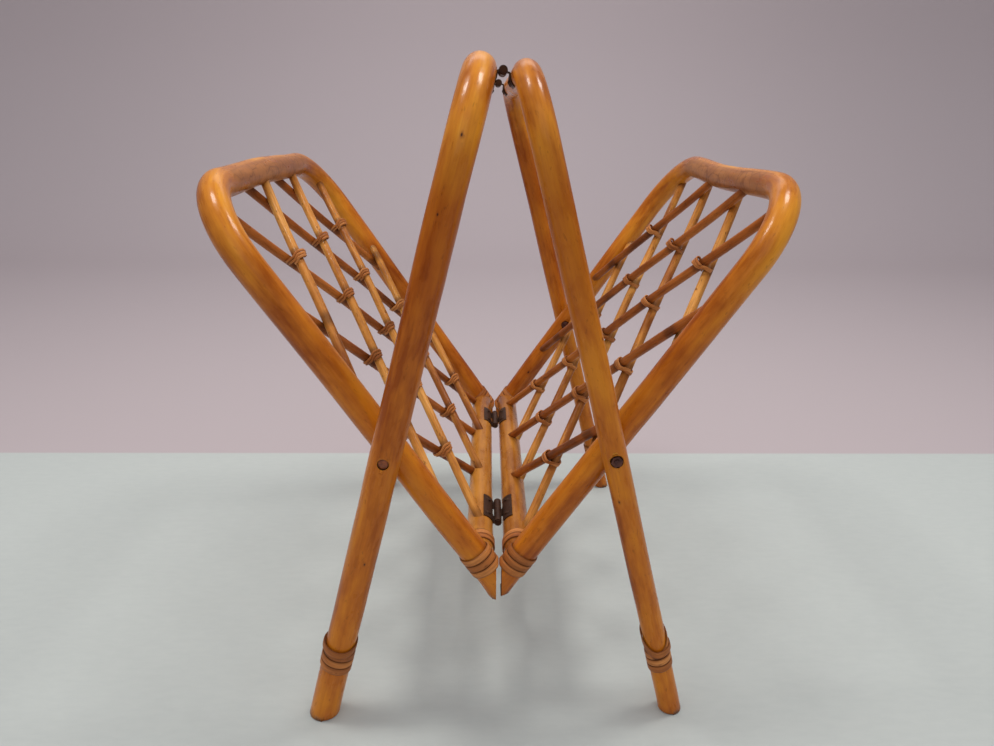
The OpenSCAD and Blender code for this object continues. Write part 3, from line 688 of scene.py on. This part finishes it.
def bent_pole(stations, radius, place, seed, quiet, stain_and_shade, bow=0.0,
              worn=lambda far, angle: 0.0, sway=lambda far: 0.0):
    """The skin of a pole. radius, stain, worn and sway are functions of the place on it"""
    half_bar = max(y for y, z, a, w, far in stations if a == 0)
    ring_angles = angles_round(RING)
    rings, straights, stains_and_shades, worns = [], [], [], []
    for y, z, a, w, far in stations:
        free = calm(far, quiet)
        outward = Vector((0, -sin(a), cos(a)))
        middle = Vector((wander(far, seed, side_drift) * free - sway(far), y, z))
        middle += outward * wander(far, seed + 9, out_drift) * free
        if a == 0:
            middle += outward * bow * cos(pi / 2 * y / half_bar) ** 2
        r = radius(far) * (1 + thick_drift * wander(far * 1.7, seed + 4, 1) * free)
        ring, coords = [], []
        for angle in ring_angles:
            side, out = cos(angle), sin(angle)
            squeeze = (1 - bend_flat_out * w) if out > 0 else (1 + bend_flat_in * w)
            ring.append(middle + Vector((r * side * (1 + bend_wide * w), 0, 0))
                        + outward * (r * out * squeeze))
            coords.append(Vector((r * side, r * out, far)) * MM)
        rings.append(ring)
        straights.append(coords)
        stains_and_shades.append(stain_and_shade(far))
        worns.append([worn(far, angle) for angle in ring_angles])
    return skin_through(rings, straights, stains_and_shades, place, worns)


# %% [markdown]
# ## Leg hoops
# The left leg hoop is the thicker one, and the right one tapers towards its feet. Both
# run a little past the floor, then the floor plane slices the feet off level and their
# rims are rounded. Painted shade darkens each foot just above the floor and under its
# winding. The recesses of the pivot bolts are drilled last, from the outside of each leg.

# %% Leg hoops
bolt_bore, nut_seat_r = 2.0, 4.4415
head_seat = {LEFT: (3.9, 2.3), RIGHT: (nut_seat_r, 3.0)}
foot_lift = {LEFT: 7.6, RIGHT: 4.6}
# Painted shade darkens a foot just above the floor, and more under each winding
foot_rounding, foot_shade, foot_shade_run = 1.4, 0.55, 5
painted_shade_under_strip, foot_strip_from, foot_strip_to = 0.8, 41, 55
pivot_quiet, piece_quiet = 14, 20
foot_binding_middle, apex_hinge_y = 47, 98


def drill_pivot(piece, y, outward, r, seat_r, seat_depth, place):
    """The bore of a pivot through a pole at y, with a wider seat on its outward side"""
    floor_y = y + outward * (r - seat_depth)
    drill(piece, turned([(bolt_bore, y - outward * 2 * r), (bolt_bore, floor_y),
                         (seat_r, floor_y), (seat_r, y + outward * 2 * r)], place))


def make_leg(side):
    stations = hoop_stations(leg_y[side], -leg_foot - foot_spare, leg_top[side], leg_bend[side])
    length = stations[-1][4]
    bar = length / 2
    pivot, binding = foot_spare + leg_foot, foot_spare + foot_binding_middle
    quiet = [(place, pivot_quiet) for place in (pivot, length - pivot)]
    quiet += [(place, piece_quiet) for place in (binding, length - binding,
                                                 bar - apex_hinge_y, bar + apex_hinge_y)]
    taper_end = leg_foot + foot_spare + leg_top[side] - leg_bend[side]

    def radius(far):
        share = min(1.0, min(far, length - far) / taper_end)
        return foot_r[side] + (pole_r[side] - foot_r[side]) * share

    def stain_and_shade(far):
        """Painted shade where the foot stands on the floor, and under its winding"""
        foot = min(far, length - far) - foot_spare
        if foot_strip_from < foot - foot_lift[side] < foot_strip_to:
            return painted_shade_under_strip
        return max(0.0, foot_shade * (1 - foot / foot_shade_run))

    bm = bent_pole(stations, radius, LEG[side], 1.7 + side, quiet, stain_and_shade)
    slice_off(bm, (0, 0, 0), (0, 0, -1), foot_rounding * MM)
    name = SIDES[side]
    piece = piece_from(f"{name}_leg_pole", bm, LEG_FINISH[side], f"{name}_legs",
                       [f"{name}_leg_frame"])
    for end in (-1, 1):
        drill_pivot(piece, end * leg_y[side], end, pole_r[side], *head_seat[side], LEG[side])
    print(piece.name, "length", round(length), "mm, faces", len(piece.data.polygons))


for side in SIDES:
    make_leg(side)

# %% [markdown]
# ## Tray hoops
# A tray hoop is bent the same way, but its two ends run down to the tips where the trays
# meet. The inner side of each tip is cut off along the middle of the rack, where the two
# trays rest on each other and stop the rack from opening further, and its sharp point is
# trimmed. The bolt's nut or head has a shallow seat on the inside of each side rail.

# %% Tray hoops
stop_gap, tip_ease = 0.3, 0.8
tip_cut_x = stop_gap / 2 + binding_t + tip_ease
tip_trim = {LEFT: 9.5, RIGHT: 11.5}
tip_rounding, inner_recess = 1.8, 1.4
top_bow = {LEFT: 2.0, RIGHT: -2.6}
tip_sway = {LEFT: 3.4, RIGHT: 2.2}
sway_from, sway_run = 72, 27
tip_quiet_at, tip_quiet = 20, 75
# Painted shade towards each cut tip and under its winding
tip_start, tip_shade, tip_shade_run = 52, 0.6, 12
tip_strip_from, tip_strip_to = 24, 40
worn_reach, worn_angle, worn_edge, worn_round = 0.16, 0.6, 2.2, 1.8


def tip_z(side):
    return bottom_hinge_z - (hinge_offset + rail_r[side]) / sin(tray_lean) + tip_trim[side]


def make_tray(side):
    low = -bottom_reach - tip_spare
    stations = hoop_stations(tray_width / 2, low, tray_top, tray_bend)
    length = stations[-1][4]
    quiet = [(-low, pivot_quiet), (length + low, pivot_quiet),
             (tip_quiet_at, tip_quiet), (length - tip_quiet_at, tip_quiet)]

    def stain_and_shade(far):
        """Painted shade towards the cut tip and under its winding"""
        tip = min(far, length - far) - tip_start
        if tip_strip_from < tip < tip_strip_to:
            return painted_shade_under_strip
        return tip_shade * clamp(1 - tip / tip_shade_run)

    def worn(far, angle):
        """The magazines have rubbed the lacquer off the inner side of the top bar"""
        along = 1 - abs(far / length - 0.5) / worn_reach
        return clamp(worn_edge * along) * clamp(worn_round * cos(angle + worn_angle))

    def sway(far):
        """Below its winding each tip turns down a little, away from the other tray"""
        below = max(0.0, sway_from - min(far, length - far)) / sway_run
        return tip_sway[side] * below * below

    bm = bent_pole(stations, lambda far: rail_r[side], TRAY[side], 6.1 + side, quiet, stain_and_shade,
                   bow=top_bow[side], worn=worn, sway=sway)
    slice_off(bm, (side * tip_cut_x * MM, 0, 0), (-side, 0, 0))
    slice_off(bm, (0, 0, tip_z(side) * MM), (0, 0, -1), tip_rounding * MM)
    name = SIDES[side]
    piece = piece_from(f"{name}_tray_pole", bm, RAIL_FINISH[side], f"{name}_tray",
                       [f"{name}_tray_frame"])
    for end in (-1, 1):
        drill_pivot(piece, end * tray_width / 2, -end, rail_r[side], nut_seat_r, inner_recess,
                    TRAY[side])
    print(piece.name, "length", round(length), "mm, faces", len(piece.data.polygons))


for side in SIDES:
    make_tray(side)

# %% [markdown]
# ## Bottom rails
# A straight pole, nearly as thick, closes each tray at the bottom. It runs from one side
# rail to the other and disappears into them, so its ends need no shaping.


# %% Bottom rails
straight_step, own_stretch, straight_thick_drift = 3.0, 700, 0.02
rail_end_inset = 3
rail_strip_from, rail_strip_to = 11, 24


def straight_pole(start, end, radius, place, seed, stain_and_shade, sides=RING, drift=0.0, edge=1.0,
                  set_back=lambda z: 0.0):
    """A straight pole between two points in the own frame, with a slight drift"""
    run = end - start
    length, direction = run.length, run.normalized()
    side_way = Vector((1, 0, 0))
    up_way = direction.cross(side_way).normalized()
    side_way = up_way.cross(direction)
    rings, straights, stains_and_shades = [], [], []
    count = round(length / straight_step)
    for k in range(count + 1):
        far = length * k / count
        free = min(1.0, min(far, length - far) / edge)
        middle = start + direction * far
        middle += side_way * wander(far, seed, drift) * free
        middle += up_way * wander(far, seed + 5, drift) * free
        middle.x -= set_back(middle.z)
        r = radius * (1 + straight_thick_drift * wander(far * 1.4, seed + 2, 1))
        stains_and_shades.append(stain_and_shade(far, length, middle.z))
        angles = angles_round(sides)
        rings.append([middle + side_way * r * cos(a) + up_way * r * sin(a) for a in angles])
        straights.append([Vector((r * cos(a), r * sin(a), far + seed * own_stretch)) * MM
                          for a in angles])
    return skin_through(rings, straights, stains_and_shades, place)


# Painted shade in the seams under the rail's winding
def painted_rail_shade(far, length, z):
    return painted_shade_under_strip if rail_strip_from < far < rail_strip_to else 0.0


for side, name in SIDES.items():
    front = Vector((0, own_end(side, FRONT) * (tray_width / 2 - rail_end_inset), bottom_rail_z))
    rear = Vector((0, -front.y, bottom_rail_z))
    bm = straight_pole(front, rear, bottom_rail_r, TRAY[side], 3.3 + side, painted_rail_shade)
    rail = piece_from(f"{name}_bottom_pole", bm, bottom_finish, f"{name}_tray",
                      [f"{name}_bottom_rail"])
    print(rail.name, [round(v, 4) for v in rail.dimensions])

# %% [markdown]
# ## Lattice
# Thin canes cross in two layers. On the left tray the golden layer is on the inside and
# the brown one behind it, and on the right tray it is the other way round. Each cane is
# a slim tube that stops just short of the middle line of whatever it runs into, so that
# its end is hidden inside the rail, as if it were pegged there.

# %% Where the thin canes run
cane_r, cane_gap = 3.5, 0.1
lattice_across, lattice_row = 86, 48
lattice_z = {LEFT: 157 - bottom_reach, RIGHT: 154 - bottom_reach}
lattice_y = {LEFT: 15, RIGHT: -2}
cane_tilt = atan(lattice_across / 2 / lattice_row)
canes_in_layer, middle_cane, longest_half = 5, 3, 400
hidden_end = 2.5
set_back_from, set_back_run, most_set_back = 70, 110, 3.2
# Painted shade where a thin cane enters a rail, and under and beside each tie
entry_shade, entry_hidden, entry_run = 0.5, 9, 6
tie_shade, tie_cover, tied_rows = 0.6, 3, 2.5


def in_window(y, z, inset):
    """Whether a point of the tray's plane lies inside its middle line, by inset"""
    half = tray_width / 2
    if abs(y) > half - inset or not bottom_rail_z + inset < z < tray_top - inset:
        return False
    corner_y, corner_z = half - tray_bend, tray_top - tray_bend
    if abs(y) > corner_y and z > corner_z:
        return hypot(abs(y) - corner_y, z - corner_z) < tray_bend - inset
    return True


def lattice_set_back(z):
    """The lattice leaves the hoop's plane a little towards the top bar, on its far side"""
    return most_set_back * smooth((z - set_back_from) / set_back_run)


def painted_joint_shade(side):
    """Painted shade where a thin cane enters a rail, and under and beside each tie"""
    def stain_and_shade(far, length, z):
        above = z - lattice_z[side]
        from_tie = abs((above + lattice_row / 2) % lattice_row - lattice_row / 2)
        tie = tie_shade * clamp(1 - (from_tie - tie_cover) / tie_cover)
        entry = entry_shade * clamp(1 - (min(far, length - far) - entry_hidden) / entry_run)
        return max(entry, tie if abs(above) < tied_rows * lattice_row else 0.0)
    return stain_and_shade


def cane_ends(side, layer, number):
    """Where a lattice cane starts and stops, in the tray's own frame"""
    start_y = lattice_y[side] + (number - middle_cane) * lattice_across
    lean = layer * sin(cane_tilt), cos(cane_tilt)
    inside = [d for d in range(-longest_half, longest_half + 1)
              if in_window(start_y + lean[0] * d, lattice_z[side] + lean[1] * d, hidden_end)]
    x = layer * (cane_r + cane_gap / 2)
    return [Vector((x, start_y + lean[0] * d, lattice_z[side] + lean[1] * d))
            for d in (inside[0], inside[-1])]


# %% Thin lattice canes
for side, name in SIDES.items():
    for layer, level_name in ((1, "inner"), (-1, "outer")):
        golden = (side == LEFT) == (layer == 1)
        for number in range(1, canes_in_layer + 1):
            start, end = cane_ends(side, layer, number)
            seed = number + 10 * layer + 30 * side
            bm = straight_pole(start, end, cane_r, TRAY[side], seed, painted_joint_shade(side),
                               sides=20, drift=0.30, edge=25, set_back=lattice_set_back)
            piece_from(f"{name}_{level_name}_thin_cane_{number}", bm,
                       golden_finish if golden else dark_finish, f"{name}_tray",
                       [f"{name}_{level_name}_cane_{number}"])

# %% [markdown]
# ## Flat strips
# The windings are strips of split cane, flat inside, slightly crowned outside, pulled
# tight round a pole. Each one is a single strip that climbs in a helix. The same helper
# makes the bindings of feet, tips and rails and the small ties of the lattice.

# %% Helper: a strip along a path
STRIP = [(-.5, -.44), (-.5, .44), (-.28, .5), (.2, .5), (.44, .38), (.5, .16), (.5, -.16),
         (.44, -.38), (.2, -.5), (-.28, -.5)]
strip_stretch, strip_wide_drift, strip_drift_run = 900, 0.05, 9


def strip_skin(path, w, t, place, seed, limit=None, stain_and_shade=lambda k: 0.0):
    """path is a list of (point, outward, along); limit may press a point flat"""
    rings, straights, far = [], [], 0.0
    for i, (at, out, along) in enumerate(path):
        run = (path[min(i + 1, len(path) - 1)][0] - path[max(i - 1, 0)][0]).normalized()
        along = (along - run * along.dot(run)).normalized()
        if i:
            far += (at - path[i - 1][0]).length
        drift = noise.noise(Vector((far / strip_drift_run, seed, 2.0)))
        wide = w * (1 + strip_wide_drift * drift)
        ring = [at + out * (a * t) + along * (b * wide) for a, b in STRIP]
        if limit:
            ring = [limit(p, a) for p, (a, b) in zip(ring, STRIP)]
        rings.append(ring)
        straights.append([Vector((b * w, a * t, far + seed * strip_stretch)) * MM
                          for a, b in STRIP])
    return skin_through(rings, straights, [stain_and_shade(k) for k in range(len(path))], place)


# %% [markdown]
# ## Bindings of the feet
# Three turns of strip hold each foot. The strip starts at the back, where its cut end is
# out of sight. Its last loop has worked loose over the years: behind the leg it climbs,
# most on the right legs, and in front it comes down on top of the third turn. The helix
# is written turn by turn, so that only this last loop needs words of its own.

# %% Foot bindings
binding_w, binding_pitch = 5.4, 5.9
turn_steps, strip_seat = 48, 0.1
foot_binding_rise, foot_taper = 40, 0.25
foot_turns, loose_from, over_from, over_run, looseness = 3.85, 2.5, 3.22, 0.28, 0.15
loose_rise = {LEFT: 6, RIGHT: 18}
last_drop = {LEFT: 0.45, RIGHT: 0.75}
knot_turn, knot_run, knot_shade = 2.47, 0.06, 0.95


def winding(r, start, hand, turns):
    """A helix of strip round a pole that stands along Z"""
    path = []
    for k in range(round(turn_steps * turns) + 1):
        angle = start + hand * 2 * pi * k / turn_steps
        out = Vector((cos(angle), sin(angle), 0))
        rise = binding_pitch * k / turn_steps
        path.append((out * (r + binding_t / 2 + strip_seat) + Vector((0, 0, rise)),
                     out, Vector((0, 0, 1))))
    return path


def foot_winding(r, back, hand, loose, drop):
    """From the back: three turns, then a loose loop that ends on top of the third"""
    path = []
    for k in range(round(turn_steps * foot_turns) + 1):
        turn = k / turn_steps
        angle = back + hand * 2 * pi * turn
        out = Vector((cos(angle), sin(angle), 0))
        rise = binding_pitch * (turn - 0.5)
        if loose_from < turn < loose_from + 1:
            rise += loose * (1 - cos(2 * pi * (turn - loose_from))) / 2
        over = smooth((turn - over_from) / over_run)
        rise -= binding_pitch * drop * over
        away = r + binding_t / 2 + strip_seat + over * binding_t
        away += looseness * noise.noise(Vector((turn * 5, hand, loose)))
        path.append((out * away + Vector((0, 0, rise)), out, Vector((0, 0, 1))))
    return path


def strip_knot(k):
    """The strip of the front right foot has a dark knot in its loose loop"""
    return knot_shade * smooth(1.4 - abs(k / turn_steps - knot_turn) / knot_run)


for side, name in SIDES.items():
    for end, end_name in ENDS.items():
        own = own_end(side, end)
        r = foot_r[side] + (pole_r[side] - foot_r[side]) * foot_taper
        path = foot_winding(r, -own * pi / 2, own, loose_rise[side], last_drop[side])
        low = foot_binding_rise + foot_lift[side] - leg_foot
        at = Matrix.Translation((0, own * leg_y[side], low))
        knotted = side == RIGHT and end == FRONT
        bm = strip_skin(path, binding_w, binding_t, LEG[side] @ at, 1.3 * own + side,
                        stain_and_shade=strip_knot if knotted else lambda k: 0.0)
        piece_from(f"{name}_{end_name}_foot_strip", bm, strip_finish, f"{name}_legs",
                   [f"{name}_{end_name}_foot_binding"])

# %% [markdown]
# ## Bindings of the tips and of the bottom rails
# At the tips the strip is pressed flat where the two trays meet. The front ends of the
# bottom rails have a short winding of their own beside the joint.

# %% Tip and rail bindings
tip_binding_drop = 5.5
tip_turns = {FRONT: 3, REAR: 4}
rail_turns, rail_binding_gap = 2, 0.3


def press_flat(base):
    """Keeps a winding off the plane where the two trays meet"""
    def limit(point, depth):
        back = (0.5 - depth) * binding_t
        most = (hinge_offset + (point.z + base + bottom_reach) * tan(tray_lean)
                - (stop_gap / 2 + back) / cos(tray_lean))
        return Vector((min(point.x, most), point.y, point.z))
    return limit


for side, name in SIDES.items():
    for end, end_name in ENDS.items():
        own = own_end(side, end)
        base = -bottom_reach - tip_binding_drop
        path = winding(rail_r[side], pi, own, tip_turns[end])
        at = Matrix.Translation((0, own * tray_width / 2, base))
        bm = strip_skin(path, binding_w, binding_t, TRAY[side] @ at, 2.1 * own + side,
                        press_flat(base))
        piece_from(f"{name}_{end_name}_tip_strip", bm, strip_finish, f"{name}_tray",
                   [f"{name}_{end_name}_corner_binding"])
    own = own_end(side, FRONT)
    outermost = tray_width / 2 - rail_r[side] - binding_t - rail_binding_gap - binding_w / 2
    at = (Matrix.Translation((0, own * (outermost - rail_turns * binding_pitch), bottom_rail_z))
          @ Matrix.Rotation(-own * pi / 2, 4, "X"))
    bm = strip_skin(winding(bottom_rail_r, pi / 2, 1, rail_turns), binding_w, binding_t,
                    TRAY[side] @ at, 4.4 + side)
    piece_from(f"{name}_rail_strip", bm, strip_finish, f"{name}_tray",
               [f"{name}_rail_binding"])

# %% [markdown]
# ## Ties of the lattice
# A narrow strip ties the two canes where they cross clear of the rails. It goes round both
# in an oval, two and a half times. Its turns lean with the canes and cross each other a little,
# which is what makes a tie look tied and not printed.

# %% Ties
tie_w, tie_t, tie_turns, tie_pitch, tie_steps = 1.9, 0.8, 2.5, 1.7, 28
tie_deep, tie_half, tie_fan, tie_slant = 7.9, 7.4, 1.6, 0.32
tie_places = [(column * lattice_across, row * lattice_row) for row in range(-2, 3)
              for column in ((-1, 0, 1) if row % 2 == 0 else (-0.5, 0.5))]


def tie_path(seed):
    """Each turn leans with the cane that it lies on, and the turns cross a little"""
    path = []
    for k in range(round(tie_steps * tie_turns) + 1):
        turn = k / tie_steps - tie_turns / 2
        angle = 2 * pi * turn + 0.5 * sin(seed * 2.3)
        swell = 1 + 0.03 * noise.noise(Vector((turn, seed, 0))) + 0.03 * turn
        out = Vector((cos(angle), sin(angle), 0))
        rise = tie_pitch * turn - tie_fan * out.y * turn / tie_turns + 0.4 * sin(angle + seed)
        lean = clamp(2 * out.x, -1.0) * rise * tan(cane_tilt)
        rise -= tie_slant * tie_half * out.y * smooth(1.5 * out.x)
        at = Vector((tie_deep * swell * out.x, tie_half * swell * out.y + lean, rise))
        path.append((at, out, Vector((0, 0, 1))))
    return path


for side, name in SIDES.items():
    whole = bmesh.new()
    whole.verts.layers.float_vector.new("straight")
    whole.verts.layers.float.new("stain_and_shade")
    for number, (y, z) in enumerate(tie_places):
        at = Matrix.Translation((0, lattice_y[side] + y, lattice_z[side] + z))
        one = strip_skin(tie_path(number * 1.9 + side), tie_w, tie_t, TRAY[side] @ at,
                         number * 0.37)
        mesh = bpy.data.meshes.new("one_tie")
        one.to_mesh(mesh)
        one.free()
        whole.from_mesh(mesh)
        bpy.data.meshes.remove(mesh)
    piece_from(f"{name}_ties", whole, strip_finish, f"{name}_tray",
               [f"{name}_cross_ties"])
print("ties on each tray:", len(tie_places))

# %% [markdown]
# ## Hinges, screws, bolts and nuts
# These pieces have their true shape in the CAD model already, so they stay, and only get
# their finishes. The left bolt heads are round and varnished over, and the right legs
# show a dark nut in its recess.

# %% Metal finishes on the CAD nodes
for node_name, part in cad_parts.items():
    if any(word in node_name for word in ("leaves", "screws", "pins")):
        finish = hinge_finish
    elif "bolts" in node_name:
        finish = head_finish if node_name.startswith("left") else nut_finish
    elif "nuts" in node_name:
        finish = nut_finish
    else:
        continue
    for material_slot in part.material_slots:
        material_slot.material = finish
    print(node_name, "->", finish.name)
